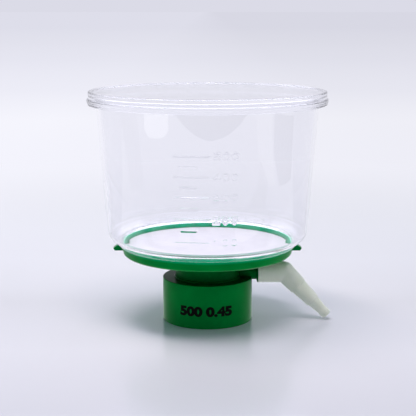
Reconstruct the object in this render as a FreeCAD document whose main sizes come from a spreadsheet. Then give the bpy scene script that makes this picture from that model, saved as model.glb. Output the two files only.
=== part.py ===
"""Bottle-top vacuum filtration unit: clear funnel and lid on a moulded base with an angled hose adapter.

The origin is the centre of the skirt's mouth, where the unit stands or meets its bottle; +Z points up
the funnel, +X along the vacuum port, and -Y is the graduated front. Lengths are millimetres.
"""
import FreeCAD, Part
import math
import os

import Sketcher
from FreeCAD import Placement, Rotation, Vector

X_AXIS = Vector(1, 0, 0)
Z_AXIS = Vector(0, 0, 1)
ROUND_JOIN = 0
CUT_PAST_END = 1.0
THREAD_GAP_TURNS = (45.0, 135.0)

DRIVING = {
    # threaded skirt and shoulder, for a 45 mm bottle neck
    "skirt_radius": 24.5,
    "skirt_top": 23.6,
    "skirt_edge_round": 0.35,
    "bore_radius": 22.75,
    "mouth_radius": 23.25,
    "mouth_depth": 2.0,
    "mouth_taper": 0.5,
    "socket_top": 21.4,
    "thread_crest": 21.5,
    "thread_pitch": 4.2,
    "thread_turns": 1.5,
    "thread_start": 4.7,
    "thread_root_width": 2.2,
    "thread_tip_width": 1.1,
    "thread_gap": 4.0,
    "thread_depth": 1.7,
    "thread_root": 0.4,
    # neck and drip tube
    "neck_radius": 17.6,
    "neck_bore": 15.6,
    "neck_round": 0.8,
    "drip_radius": 6.0,
    "drip_bore": 4.2,
    "drip_bottom": 15.0,
    # dish and rim
    "wall": 2.2,
    "under_dish_step": 0.3,
    "dish_low": 33.2,
    "dish_high": 36.4,
    "dish_edge": 44.0,
    "rim_low_radius": 46.1,
    "rim_low": 37.9,
    "rim_round": 2.6,
    "rim_radius": 46.9,
    "rim_top": 43.3,
    "rim_bore": 45.0,
    "lip_radius": 45.7,
    "lip_top": 44.25,
    "lip_chamfer": 0.1,
    "ledge_radius": 43.6,
    "ledge_top": 41.65,
    "floor_low": 34.0,
    "floor_high": 38.4,
    # ribs that carry the membrane
    "rib_count": 16,
    "rib_width": 1.2,
    "rib_start": 8.0,
    "rib_root": 0.4,
    # lifting ears
    "ear_tip": 51.5,
    "ear_shoulder": 49.0,
    "ear_low": 38.2,
    "ear_nose": 39.5,
    "ear_top": 41.2,
    "ear_width": 5.2,
    "ear_chamfer": 0.9,
    "ear_root": 1.0,
    # side port and its nipple
    "port_height": 25.7,
    "port_radius": 4.1,
    "port_flare_start": 26.8,
    "port_flare_radius": 5.75,
    "port_face": 27.7,
    "port_flare_chamfer": 0.35,
    "port_bore": 2.4,
    "port_root": 0.9,
    "port_run_in": 1.6,
    "nipple_radius": 3.6,
    "nipple_end": 37.5,
    "nipple_chamfer_length": 0.6,
    "nipple_chamfer_depth": 0.4,
    "filter_radius": 2.38,
    "filter_start": 18.0,
    "filter_length": 8.0,
    # push-on hose adapter
    "sleeve_start": 27.8,
    "sleeve_radius": 5.83,
    "sleeve_bore": 3.65,
    "sleeve_bore_end": 40.0,
    "elbow_reach": 42.08,
    "elbow_angle": 45.0,
    "swivel_at_rest": -9.0,
    "barb_length": 33.6,
    "barb_bore": 1.7,
    "barb_bore_start": 3.0,
    "barb_root": 5.7,
    "barb_step": 0.42,
    "barb_step_one": 11.0,
    "barb_step_one_radius": 5.1,
    "barb_step_two": 22.4,
    "barb_step_two_radius": 4.0,
    "barb_waist": 29.3,
    "barb_waist_radius": 2.78,
    "barb_bead": 31.0,
    "barb_bead_radius": 2.95,
    "barb_tip_radius": 2.75,
    "barb_tip_chamfer": 0.3,
    # membrane and gasket
    "membrane_radius": 44.9,
    "membrane_thickness": 0.2,
    "gasket_bore": 16.2,
    "gasket_radius": 22.6,
    "gasket_thickness": 1.5,
    # funnel
    "foot_low": 42.1,
    "foot_bore": 47.15,
    "foot_radius": 48.0,
    "foot_high": 43.6,
    "foot_turn": 7.6,
    "cup_low_radius": 54.3,
    "cup_low": 50.15,
    "cup_slope": 0.0764,
    "cup_wall": 1.9,
    "cup_floor_bore": 45.75,
    "cup_floor_edge": 48.7,
    "cup_floor_top": 45.6,
    "cup_floor_turn": 4.7,
    "flange_radius": 64.4,
    "flange_low": 118.27,
    "flange_step": 119.55,
    "flange_step_width": 0.35,
    "flange_top": 121.25,
    "collar_top": 122.6,
    "collar_width": 1.4,
    # lid
    "lid_gap": 0.1,
    "lid_radius": 63.7,
    "lid_top": 125.4,
    "lid_wall": 1.6,
    "lid_skirt_width": 1.7,
    "lid_edge_round": 0.6,
    "lid_recess": 0.5,
    "lid_bead_width": 2.4,
    # graduations
    "mark_relief": 0.2,
    "mark_root": 0.3,
    "mark_width": 0.5,
    "numeral_height": 3.2,
    "numeral_width": 3.3,
    "numeral_pitch": 4.6,
    "numeral_stroke": 0.6,
}

# level of each 50 ml step in the cup, from its volume between the membrane and the level
MARK_LEVELS = {
    100: 54.0, 150: 59.7, 200: 65.5, 250: 71.2, 300: 76.6, 350: 81.9, 400: 87.0, 450: 92.1, 500: 97.2,
}
LONG_MARK = (-17.0, 0.9)
SHORT_MARK = (-13.8, -5.5)
NUMERALS_CENTRE = 9.2

# centre lines of the numerals in a box one unit wide and one unit high
GLYPHS = {
    "0": [[(0.0, 0.35), (0.25, 0.0), (0.75, 0.0), (1.0, 0.35), (1.0, 0.65), (0.75, 1.0), (0.25, 1.0),
           (0.0, 0.65), (0.0, 0.35)]],
    "1": [[(0.25, 0.8), (0.55, 1.0), (0.55, 0.0)]],
    "2": [[(0.0, 0.8), (0.25, 1.0), (0.75, 1.0), (1.0, 0.75), (0.0, 0.0), (1.0, 0.0)]],
    "3": [[(0.05, 1.0), (0.95, 1.0), (0.5, 0.6), (1.0, 0.4), (0.9, 0.0), (0.0, 0.0)]],
    "4": [[(0.75, 0.0), (0.75, 1.0), (0.0, 0.3)], [(0.0, 0.3), (1.0, 0.3), (1.0, 0.36)]],
    "5": [[(0.95, 1.0), (0.1, 1.0), (0.05, 0.55), (0.75, 0.6), (1.0, 0.3), (0.8, 0.0), (0.0, 0.0)]],
}


class Size:
    """A length that carries both its number and the spreadsheet expression that gives it."""

    def __init__(self, value, text):
        self.value = value
        self.text = text

    def joined(self, sign, other, value):
        other_text = other.text if isinstance(other, Size) else repr(other)
        return Size(value, f"({self.text} {sign} {other_text})")

    def __add__(self, other):
        return self.joined("+", other, self.value + number(other))

    def __sub__(self, other):
        return self.joined("-", other, self.value - number(other))

    def __rsub__(self, other):
        return Size(number(other), repr(float(other))) - self

    def __mul__(self, other):
        return self.joined("*", other, self.value * number(other))


def number(size):
    return size.value if isinstance(size, Size) else float(size)


def expression(size):
    return size.text if isinstance(size, Size) else repr(float(size))


class Sizes:
    """The driving dimensions, one attribute for each alias of the spreadsheet."""

    def __init__(self, sheet):
        for row, (alias, value) in enumerate(DRIVING.items(), start=1):
            sheet.set(f"A{row}", alias)
            sheet.set(f"B{row}", str(value))
            sheet.setAlias(f"B{row}", alias)
            setattr(self, alias, Size(float(value), f"<<sizes>>.{alias}"))


def bind(thing, **properties):
    """Set properties from sizes; two underscores in a name stand for a dot."""
    for name, size in properties.items():
        thing.setExpression(name.replace("__", "."), expression(size))


def origin_plane(body, role):
    return next(item for item in body.Origin.OriginFeatures if item.Role == role)


def arc_between(start, end, radius, bulge_left):
    """Anticlockwise arc between two points; bulge_left: its middle lies left of the way to the end."""
    chord = end - start
    left = Vector(-chord.y, chord.x, 0).normalize()
    side = 1.0 if bulge_left else -1.0
    height = radius - math.sqrt(radius**2 - (chord.Length / 2) ** 2)
    middle = start + chord * 0.5 + left * side * height
    return Part.Arc(end, middle, start) if bulge_left else Part.Arc(start, middle, end)


def outline(body, name, plane, corners, arcs=None, offset=None):
    """Closed sketch through the corners, each bound to its sizes.

    arcs gives, for an edge's number, (radius, bulge_left): that edge is an arc. offset moves and
    turns the sketch in its plane as (along, up, angle, out of plane).
    """
    sketch = body.newObject("Sketcher::SketchObject", name)
    sketch.AttachmentSupport = [(origin_plane(body, plane), "")]
    sketch.MapMode = "FlatFace"
    if offset:
        along, up, angle, out = offset
        sketch.AttachmentOffset = Placement(
            Vector(number(along), number(up), number(out)), Rotation(Z_AXIS, number(angle))
        )
        bind(sketch, AttachmentOffset__Base__x=along, AttachmentOffset__Base__y=up,
             AttachmentOffset__Base__z=out, AttachmentOffset__Rotation__Angle=angle)
    points = [Vector(number(across), number(up), 0) for across, up in corners]
    ends = []
    for index, start in enumerate(points):
        end = points[(index + 1) % len(points)]
        if arcs and index in arcs:
            radius, bulge_left = arcs[index]
            sketch.addGeometry(arc_between(start, end, number(radius), bulge_left), False)
            ends.append((2, 1) if bulge_left else (1, 2))
        else:
            sketch.addGeometry(Part.LineSegment(start, end), False)
            ends.append((1, 2))
    for index in range(len(points)):
        following = (index + 1) % len(points)
        sketch.addConstraint(
            Sketcher.Constraint("Coincident", index, ends[index][1], following, ends[following][0])
        )
    for index, corner in enumerate(corners):
        for kind, size in zip(("DistanceX", "DistanceY"), corner):
            rule = Sketcher.Constraint(kind, -1, 1, index, ends[index][0], number(size))
            constraint = sketch.addConstraint(rule)
            if isinstance(size, Size):
                sketch.setExpression(f"Constraints[{constraint}]", size.text)
    for index, (radius, _) in (arcs or {}).items():
        constraint = sketch.addConstraint(Sketcher.Constraint("Radius", index, number(radius)))
        if isinstance(radius, Size):
            sketch.setExpression(f"Constraints[{constraint}]", radius.text)
    return sketch


def turned(body, kind, name, sketch, axis):
    """Revolution or Groove of a sketch about one of the sketch's own axes."""
    feature = body.newObject(f"PartDesign::{kind}", name)
    feature.Profile = sketch
    feature.ReferenceAxis = (sketch, [axis])
    feature.Angle = 360.0
    return feature


def build_base_moulding(doc, size):
    """Skirt, neck, drip tube, dish, rim and its lip in one turned form, then ribs, ears and the port."""
    body = doc.addObject("PartDesign::Body", "base_moulding")
    edge = size.skirt_edge_round
    section = outline(
        body, "base_section", "XZ_Plane",
        [
            (size.drip_bore, size.drip_bottom),
            (size.drip_radius, size.drip_bottom),
            (size.drip_radius, size.floor_low - size.wall),
            (size.neck_bore, size.dish_low - size.under_dish_step),
            (size.neck_bore, size.socket_top),
            (size.bore_radius, size.socket_top),
            (size.bore_radius, size.mouth_depth + size.mouth_taper),
            (size.mouth_radius, size.mouth_depth),
            (size.mouth_radius, 0.0),
            (size.skirt_radius - edge, 0.0),
            (size.skirt_radius, edge),
            (size.skirt_radius, size.skirt_top - edge),
            (size.skirt_radius - edge, size.skirt_top),
            (size.neck_radius + size.neck_round, size.skirt_top),
            (size.neck_radius, size.skirt_top + size.neck_round),
            (size.neck_radius, size.dish_low),
            (size.dish_edge, size.dish_high),
            (size.rim_low_radius, size.rim_low),
            (size.rim_radius, size.rim_top - edge),
            (size.rim_radius - edge, size.rim_top),
            (size.lip_radius, size.rim_top),
            (size.lip_radius, size.lip_top - size.lip_chamfer),
            (size.lip_radius - size.lip_chamfer, size.lip_top),
            (size.rim_bore, size.lip_top),
            (size.rim_bore, size.ledge_top),
            (size.ledge_radius, size.ledge_top),
            (size.ledge_radius, size.floor_high),
            (size.drip_bore, size.floor_low),
        ],
        arcs={
            9: (edge, False), 11: (edge, False), 13: (size.neck_round, False),
            16: (size.rim_round, False), 18: (edge, False),
        },
    )
    turned(body, "Revolution", "base_turned", section, "V_Axis")
    build_ribs(body, size)
    build_ears(body, size)
    build_port(body, size)
    return body


def build_ribs(body, size):
    section = outline(
        body, "rib_section", "XZ_Plane",
        [
            (size.rib_start, size.floor_low),
            (size.ledge_radius + size.rib_root, size.floor_high - size.rib_root),
            (size.ledge_radius + size.rib_root, size.ledge_top),
            (size.rib_start, size.ledge_top),
        ],
    )
    rib = body.newObject("PartDesign::Pad", "rib")
    rib.Profile = section
    rib.SideType = "Symmetric"
    bind(rib, Length=size.rib_width)
    ribs = body.newObject("PartDesign::PolarPattern", "ribs")
    ribs.Originals = [rib]
    ribs.Axis = (section, ["V_Axis"])
    ribs.Angle = 360.0
    bind(ribs, Occurrences=size.rib_count)
    body.Tip = ribs


def build_ears(body, size):
    hidden_start = size.rim_low_radius - size.ear_root
    section = outline(
        body, "ear_section", "XZ_Plane",
        [
            (hidden_start, size.ear_low),
            (size.ear_tip - size.ear_chamfer, size.ear_low),
            (size.ear_tip, size.ear_nose),
            (size.ear_shoulder, size.ear_top),
            (hidden_start, size.ear_top),
        ],
    )
    ear = body.newObject("PartDesign::Pad", "ear")
    ear.Profile = section
    ear.SideType = "Symmetric"
    bind(ear, Length=size.ear_width)
    ears = body.newObject("PartDesign::PolarPattern", "ears")
    ears.Originals = [ear]
    ears.Axis = (section, ["V_Axis"])
    ears.Angle = 360.0
    ears.Occurrences = 2
    body.Tip = ears


def build_port(body, size):
    """Port tube with its flared end and nipple, then one bore from the nipple into the neck."""
    start = size.neck_bore + size.port_root
    run_in = size.neck_bore - size.port_run_in
    at_port = (0.0, size.port_height, 0.0, 0.0)
    section = outline(
        body, "port_section", "XZ_Plane",
        [
            (start, 0.0),
            (start, size.port_radius),
            (size.port_flare_start, size.port_radius),
            (size.port_face - size.port_flare_chamfer, size.port_flare_radius),
            (size.port_face, size.port_flare_radius),
            (size.port_face, size.nipple_radius),
            (size.nipple_end - size.nipple_chamfer_length, size.nipple_radius),
            (size.nipple_end, size.nipple_radius - size.nipple_chamfer_depth),
            (size.nipple_end, 0.0),
        ],
        offset=at_port,
    )
    turned(body, "Revolution", "port_tube", section, "H_Axis")
    bore = outline(
        body, "port_bore_section", "XZ_Plane",
        [
            (run_in, 0.0),
            (run_in, size.port_bore),
            (size.nipple_end + CUT_PAST_END, size.port_bore),
            (size.nipple_end + CUT_PAST_END, 0.0),
        ],
        offset=at_port,
    )
    turned(body, "Groove", "port_bore", bore, "H_Axis")


def build_thread(doc, size):
    """Interrupted internal thread: a swept ridge, trimmed to a true cylinder at its crest."""
    helix = doc.addObject("Part::Helix", "thread_line")
    bind(helix, Pitch=size.thread_pitch, Height=size.thread_pitch * size.thread_turns,
         Radius=size.bore_radius, Placement__Base__z=size.thread_start)
    section = doc.addObject("Part::Polygon", "thread_section")
    root_half = size.thread_root_width.value / 2
    tip_half = size.thread_tip_width.value / 2
    inner = (size.bore_radius - size.thread_depth).value
    outer = (size.bore_radius + size.thread_root).value
    level = size.thread_start.value
    section.Nodes = [
        Vector(outer, 0, level - root_half), Vector(inner, 0, level - tip_half),
        Vector(inner, 0, level + tip_half), Vector(outer, 0, level + root_half),
    ]
    section.Close = True
    ridge = doc.addObject("Part::Sweep", "thread_ridge")
    ridge.Sections = [section]
    ridge.Spine = (helix, ["Edge1"])
    ridge.Solid = True
    ridge.Frenet = True
    tall = size.thread_pitch * size.thread_turns + size.thread_root_width * 2.0
    low = size.thread_start - size.thread_root_width
    outside = doc.addObject("Part::Cylinder", "thread_outside")
    bind(outside, Radius=size.bore_radius + size.thread_root, Height=tall, Placement__Base__z=low)
    inside = doc.addObject("Part::Cylinder", "thread_crest_bore")
    bind(inside, Radius=size.thread_crest, Height=tall, Placement__Base__z=low)
    trimmed = doc.addObject("Part::Common", "thread_in_wall")
    trimmed.Base, trimmed.Tool = ridge, outside
    crested = doc.addObject("Part::Cut", "thread_crested")
    crested.Base, crested.Tool = trimmed, inside
    gaps = doc.addObject("Part::MultiFuse", "thread_gaps")
    gaps.Shapes = [gap_bar(doc, size, turn, tall, low) for turn in THREAD_GAP_TURNS]
    thread = doc.addObject("Part::Cut", "thread")
    thread.Base, thread.Tool = crested, gaps
    return thread


def gap_bar(doc, size, turn, tall, low):
    """Bar across the whole bore at an angle about Z, which opens two gaps in the thread."""
    bar = doc.addObject("Part::Box", f"thread_gap_{int(turn)}")
    rotation = Rotation(Z_AXIS, turn)
    corner = rotation.multVec(Vector(-size.skirt_radius.value, -size.thread_gap.value / 2, low.value))
    bar.Placement = Placement(corner, rotation)
    bind(bar, Length=size.skirt_radius * 2.0, Width=size.thread_gap, Height=tall)
    return bar


def build_base(doc, size):
    base = doc.addObject("Part::Fuse", "base")
    base.Base = build_base_moulding(doc, size)
    base.Tool = build_thread(doc, size)
    base.Refine = False
    return base


def build_membrane(doc, size):
    membrane = doc.addObject("Part::Cylinder", "membrane")
    bind(membrane, Radius=size.membrane_radius, Height=size.membrane_thickness,
         Placement__Base__z=size.ledge_top)
    return membrane


def build_gasket(doc, size):
    low = size.socket_top - size.gasket_thickness
    disc = doc.addObject("Part::Cylinder", "gasket_disc")
    bind(disc, Radius=size.gasket_radius, Height=size.gasket_thickness, Placement__Base__z=low)
    hole = doc.addObject("Part::Cylinder", "gasket_hole")
    bind(hole, Radius=size.gasket_bore, Height=size.gasket_thickness, Placement__Base__z=low)
    gasket = doc.addObject("Part::Cut", "bottle_gasket")
    gasket.Base, gasket.Tool = disc, hole
    return gasket


def build_port_filter(doc, size):
    plug = doc.addObject("Part::Cylinder", "port_filter")
    plug.Placement = Placement(Vector(0, 0, 0), Rotation(Z_AXIS, X_AXIS))
    bind(plug, Radius=size.filter_radius, Height=size.filter_length,
         Placement__Base__x=size.filter_start, Placement__Base__z=size.port_height)
    return plug


def build_hose_adapter(doc, size):
    """Sleeve on the port axis, a round elbow, and a stepped barb; the bores meet in the elbow."""
    body = doc.addObject("PartDesign::Body", "hose_adapter")
    on_port = (0.0, 0.0, 0.0, 0.0)
    sleeve = outline(
        body, "sleeve_section", "XZ_Plane",
        [
            (size.sleeve_start, 0.0),
            (size.sleeve_start, size.sleeve_radius),
            (size.elbow_reach, size.sleeve_radius),
            (size.elbow_reach + size.sleeve_radius, 0.0),
        ],
        arcs={2: (size.sleeve_radius, True)},
        offset=on_port,
    )
    turned(body, "Revolution", "sleeve", sleeve, "H_Axis")
    on_barb = (size.elbow_reach, 0.0, size.elbow_angle * -1.0, 0.0)
    step = size.barb_step
    barb = outline(
        body, "barb_section", "XZ_Plane",
        [
            (0.0, 0.0),
            (0.0, size.barb_root),
            (size.barb_step_one, size.barb_step_one_radius),
            (size.barb_step_one + step * 0.4, size.barb_step_one_radius - step),
            (size.barb_step_two, size.barb_step_two_radius),
            (size.barb_step_two + step * 0.4, size.barb_step_two_radius - step),
            (size.barb_waist, size.barb_waist_radius),
            (size.barb_bead, size.barb_bead_radius),
            (size.barb_length - size.barb_tip_chamfer, size.barb_tip_radius),
            (size.barb_length, size.barb_tip_radius - size.barb_tip_chamfer),
            (size.barb_length, 0.0),
        ],
        offset=on_barb,
    )
    turned(body, "Revolution", "barb", barb, "H_Axis")
    sleeve_bore = outline(
        body, "sleeve_bore_section", "XZ_Plane",
        [
            (size.sleeve_start - CUT_PAST_END, 0.0),
            (size.sleeve_start - CUT_PAST_END, size.sleeve_bore),
            (size.sleeve_bore_end, size.sleeve_bore),
            (size.sleeve_bore_end, 0.0),
        ],
        offset=on_port,
    )
    turned(body, "Groove", "sleeve_bore", sleeve_bore, "H_Axis")
    barb_bore = outline(
        body, "barb_bore_section", "XZ_Plane",
        [
            (size.barb_bore_start * -1.0, 0.0),
            (size.barb_bore_start * -1.0, size.barb_bore),
            (size.barb_length + CUT_PAST_END, size.barb_bore),
            (size.barb_length + CUT_PAST_END, 0.0),
        ],
        offset=on_barb,
    )
    turned(body, "Groove", "barb_bore", barb_bore, "H_Axis")
    body.Placement = Placement(Vector(0, 0, 0), Rotation(X_AXIS, size.swivel_at_rest.value))
    bind(body, Placement__Base__z=size.port_height, Placement__Rotation__Angle=size.swivel_at_rest)
    return body


def cup_radius(size, height):
    """Outer radius of the cup's straight wall at a height."""
    return size.cup_low_radius + (height - size.cup_low) * size.cup_slope


def build_funnel_cup(doc, size):
    """Cup with an even wall, a flat floor round the membrane, a foot round the rim and a flange."""
    body = doc.addObject("PartDesign::Body", "funnel_cup")
    flange_edge = size.flange_radius - size.flange_step_width
    collar = cup_radius(size, size.flange_top) - size.cup_wall + size.collar_width
    section = outline(
        body, "funnel_section", "XZ_Plane",
        [
            (size.foot_bore, size.foot_low),
            (size.foot_radius, size.foot_low),
            (size.foot_radius, size.foot_high),
            (size.cup_low_radius, size.cup_low),
            (cup_radius(size, size.flange_low), size.flange_low),
            (flange_edge, size.flange_low),
            (flange_edge, size.flange_step),
            (size.flange_radius, size.flange_step),
            (size.flange_radius, size.flange_top),
            (collar, size.flange_top),
            (collar, size.collar_top),
            (cup_radius(size, size.collar_top) - size.cup_wall, size.collar_top),
            (size.cup_low_radius - size.cup_wall, size.cup_low),
            (size.cup_floor_edge, size.cup_floor_top),
            (size.cup_floor_bore, size.cup_floor_top),
            (size.cup_floor_bore, size.rim_top),
            (size.foot_bore, size.rim_top),
        ],
        arcs={2: (size.foot_turn, False), 12: (size.cup_floor_turn, True)},
    )
    turned(body, "Revolution", "funnel_turned", section, "V_Axis")
    return body


def stroke_face(points, width):
    """Flat face around an open or closed centre line, with round ends and corners."""
    wire = Part.makePolygon(points)
    if not wire.isClosed():
        return Part.Face(wire.makeOffset2D(width / 2, ROUND_JOIN, False, False))
    outside = wire.makeOffset2D(width / 2, ROUND_JOIN)
    inside = wire.makeOffset2D(-width / 2, ROUND_JOIN)
    return Part.Face(outside).cut(Part.Face(inside))


def graduation_blanks(size):
    """Bars and numerals that run straight through the front wall, before they are trimmed to it."""
    reach = Vector(0, -size.flange_radius.value, 0)
    half = size.mark_width.value / 2
    blanks = []
    for volume, height in MARK_LEVELS.items():
        low_angle, high_angle = LONG_MARK if volume % 100 == 0 else SHORT_MARK
        radius = cup_radius(size, height).value
        left, right = (radius * math.sin(math.radians(angle)) for angle in (low_angle, high_angle))
        bar = Part.makeBox(right - left, size.flange_radius.value, size.mark_width.value)
        bar.Placement = Placement(Vector(left, reach.y, height - half), Rotation())
        blanks.append(bar)
        if volume % 100:
            continue
        turn_per_numeral = math.degrees(size.numeral_pitch.value / radius)
        for index, character in enumerate(str(volume)):
            turn = NUMERALS_CENTRE + (index - 1) * turn_per_numeral
            for stroke in GLYPHS[character]:
                points = [
                    Vector((across - 0.5) * size.numeral_width.value, 0,
                           height + (up - 0.5) * size.numeral_height.value)
                    for across, up in stroke
                ]
                solid = stroke_face(points, size.numeral_stroke.value).extrude(reach)
                solid.rotate(Vector(0, 0, 0), Z_AXIS, turn)
                blanks.append(solid)
    return blanks


def build_graduations(doc, size):
    """Raised marks and numerals, cut from a thin shell that follows the cup's wall."""
    low = size.cup_low + size.mark_width
    high = size.flange_low - size.numeral_height
    shell = []
    for grow in (size.mark_relief.value, -size.mark_root.value):
        shell.append(
            Part.makeCone(
                cup_radius(size, low).value + grow, cup_radius(size, high).value + grow,
                (high - low).value, Vector(0, 0, low.value),
            )
        )
    skin = shell[0].cut(shell[1])
    marks = doc.addObject("Part::Feature", "graduations")
    marks.Shape = skin.common(Part.makeCompound(graduation_blanks(size)))
    return marks


def build_funnel(doc, size):
    funnel = doc.addObject("Part::Fuse", "funnel")
    funnel.Base = build_funnel_cup(doc, size)
    funnel.Tool = build_graduations(doc, size)
    funnel.Refine = False
    return funnel


def build_lid(doc, size):
    """Shallow cap: a plate with a low bead at its edge and a skirt that rests on the flange."""
    body = doc.addObject("PartDesign::Body", "lid")
    under = size.lid_top - size.lid_wall - size.lid_recess
    skirt_bore = size.lid_radius - size.lid_skirt_width
    section = outline(
        body, "lid_section", "XZ_Plane",
        [
            (0.0, under),
            (skirt_bore, under),
            (skirt_bore, size.flange_top + size.lid_gap),
            (size.lid_radius, size.flange_top + size.lid_gap),
            (size.lid_radius, size.lid_top - size.lid_edge_round),
            (size.lid_radius - size.lid_edge_round, size.lid_top),
            (size.lid_radius - size.lid_bead_width, size.lid_top),
            (size.lid_radius - size.lid_bead_width - size.lid_recess, size.lid_top - size.lid_recess),
            (0.0, size.lid_top - size.lid_recess),
        ],
        arcs={4: (size.lid_edge_round, False)},
    )
    turned(body, "Revolution", "lid_turned", section, "V_Axis")
    return body


def check(doc, pieces):
    """Stop on any failed feature and on any piece that isn't one valid closed solid."""
    failed = [item.Label for item in doc.Objects if {"Invalid", "Error"} & set(item.State)]
    if failed:
        raise RuntimeError(f"features failed: {failed}")
    for piece in pieces:
        shape = piece.Shape
        if shape.isNull() or not shape.isValid() or len(shape.Solids) != 1:
            raise RuntimeError(f"{piece.Label}: not one valid solid")
        print(f"{piece.Label}: {shape.Volume:.1f} mm3, {len(shape.Faces)} faces, {shape.BoundBox}")


def main():
    doc = FreeCAD.newDocument("vacuum_filtration_unit")
    sheet = doc.addObject("Spreadsheet::Sheet", "sizes")
    sheet.Label = "sizes"
    size = Sizes(sheet)
    doc.recompute()
    pieces = [
        build_lid(doc, size),
        build_funnel(doc, size),
        build_membrane(doc, size),
        build_base(doc, size),
        build_gasket(doc, size),
        build_port_filter(doc, size),
        build_hose_adapter(doc, size),
    ]
    doc.recompute()
    check(doc, pieces)
    os.makedirs("parts", exist_ok=True)
    for piece in pieces:
        piece.Shape.exportStep(f"parts/{piece.Label}.step")


main()
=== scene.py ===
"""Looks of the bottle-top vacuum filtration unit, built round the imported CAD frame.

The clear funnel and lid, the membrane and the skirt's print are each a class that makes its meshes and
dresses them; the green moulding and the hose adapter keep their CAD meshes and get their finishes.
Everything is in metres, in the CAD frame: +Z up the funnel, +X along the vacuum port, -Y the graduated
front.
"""

import logging
import math
from dataclasses import dataclass, field
from enum import Enum
from typing import Callable, Mapping, Sequence

import bmesh
import bpy
import numpy as np
from bpy.types import ID, Material, Mesh, Node, NodeSocket, NodeTree, Object
from mathutils import Euler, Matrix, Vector


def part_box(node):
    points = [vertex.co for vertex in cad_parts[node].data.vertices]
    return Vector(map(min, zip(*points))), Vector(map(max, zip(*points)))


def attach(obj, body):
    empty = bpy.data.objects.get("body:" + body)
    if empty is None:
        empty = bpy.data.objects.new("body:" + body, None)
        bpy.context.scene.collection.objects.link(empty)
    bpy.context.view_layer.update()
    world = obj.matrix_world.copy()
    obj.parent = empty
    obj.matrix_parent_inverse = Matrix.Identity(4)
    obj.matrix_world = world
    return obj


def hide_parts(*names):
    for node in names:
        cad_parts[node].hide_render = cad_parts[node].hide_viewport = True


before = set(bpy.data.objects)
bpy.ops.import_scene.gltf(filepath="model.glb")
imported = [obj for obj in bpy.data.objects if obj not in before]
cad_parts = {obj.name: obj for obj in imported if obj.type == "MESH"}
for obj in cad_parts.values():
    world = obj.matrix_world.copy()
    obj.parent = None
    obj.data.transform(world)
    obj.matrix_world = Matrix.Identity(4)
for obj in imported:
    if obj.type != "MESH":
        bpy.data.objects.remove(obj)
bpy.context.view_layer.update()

MM = 0.001
FRONT = -math.pi / 2
UNIT_MIDDLE = Vector((0.0, 0.0, 50 * MM))

# mesh fineness: chords of a small round and of an arc, the most of an edge that a round takes, where the
# points stand that guard a flat face, how close points merge, and from which angle an edge stays crisp
ROUND_STEPS = 6
ARC_STEPS = 14
ROUND_SHARE = 0.42
GUARD = 0.03 * MM
GUARD_SHARE = 0.05
MERGE_DISTANCE = 1e-8
CRISP_ANGLE = math.radians(38)

# noise: how rough the finer octaves of a grain are, octaves of a patch, and where its two tones end
GRAIN_ROUGHNESS = 0.55
PATCH_DETAIL = 3.0
PATCH_ENDS = (0.35, 0.65)

# sockets of a Mix node set to colours, whose names its other data types share
MIX_SHARE, MIX_FIRST, MIX_SECOND, MIX_RESULT = 0, 6, 7, 2

# most bounces of light, of which each clear wall takes two, and most see-through faces that it passes
BOUNCES = 64
CLEAR_BOUNCES = 32

Array = np.ndarray
Point = tuple[float, float]
Pair = tuple[float, float]
Corner = tuple[float, float, float]
Tones = tuple[tuple[float, str], ...]

# how far off a card stands, in metres, and the corners of one that lies round the front
CARD_DISTANCE = 1.6
FRONT_CORNERS = 40

log = logging.getLogger("filtration_unit")


# ---- colour and nodes


def linear(hex_colour: str) -> tuple[float, float, float, float]:
    """Turn an sRGB hex colour into the linear values that shaders take.

    Args:
        hex_colour: six hex digits with a leading hash.

    Returns:
        Linear red, green and blue, then an alpha of one.
    """
    digits = hex_colour.lstrip("#")
    channels: list[float] = []
    for start in (0, 2, 4):
        share = int(digits[start:start + 2], 16) / 255
        channels.append(share / 12.92 if share <= 0.04045 else ((share + 0.055) / 1.055) ** 2.4)
    return (*channels, 1.0)


def add_node(
    tree: NodeTree,
    kind: str,
    values: Mapping[str | int, object] | None = None,
    links: Mapping[str | int, NodeSocket] | None = None,
    **attributes: object,
) -> Node:
    """Add a node with its settings and links.

    Args:
        tree: node tree that takes the node.
        kind: Blender's name of the node type, after ShaderNode.
        values: input name (or index) to plain value.
        links: input name (or index) to the socket that feeds it.
        attributes: the node's own settings, such as operation.

    Returns:
        The new node.
    """
    node = tree.nodes.new(f"ShaderNode{kind}")
    for name, setting in attributes.items():
        setattr(node, name, setting)
    for name, value in (values or {}).items():
        node.inputs[name].default_value = value
    for name, socket in (links or {}).items():
        tree.links.new(socket, node.inputs[name])
    return node


def blank_material(name: str) -> tuple[Material, NodeTree]:
    """Make an empty node material.

    Args:
        name: the material's name.

    Returns:
        The material and its node tree, with no nodes in it.
    """
    material = bpy.data.materials.new(name)
    material.use_nodes = True
    material.node_tree.nodes.clear()
    return material, material.node_tree


def finish_surface(tree: NodeTree, shader: Node) -> None:
    """Send a shader's first output to the material output."""
    add_node(tree, "OutputMaterial", links={"Surface": shader.outputs[0]})


def fine_bump(tree: NodeTree, grain_mm: float, height_mm: float, detail: float) -> NodeSocket:
    """Normal of a fine random relief with a real grain size.

    Args:
        tree: node tree that takes the nodes.
        grain_mm: width of one grain.
        height_mm: height of the relief.
        detail: octaves of finer noise on top.

    Returns:
        The normal socket.
    """
    place = add_node(tree, "TexCoord")
    noise = add_node(
        tree, "TexNoise",
        values={"Scale": 1 / (grain_mm * MM), "Detail": detail, "Roughness": GRAIN_ROUGHNESS},
        links={"Vector": place.outputs["Object"]},
    )
    bump = add_node(
        tree, "Bump",
        values={"Strength": 1.0, "Distance": height_mm * MM},
        links={"Height": noise.outputs["Fac"]},
    )
    return bump.outputs["Normal"]


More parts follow.
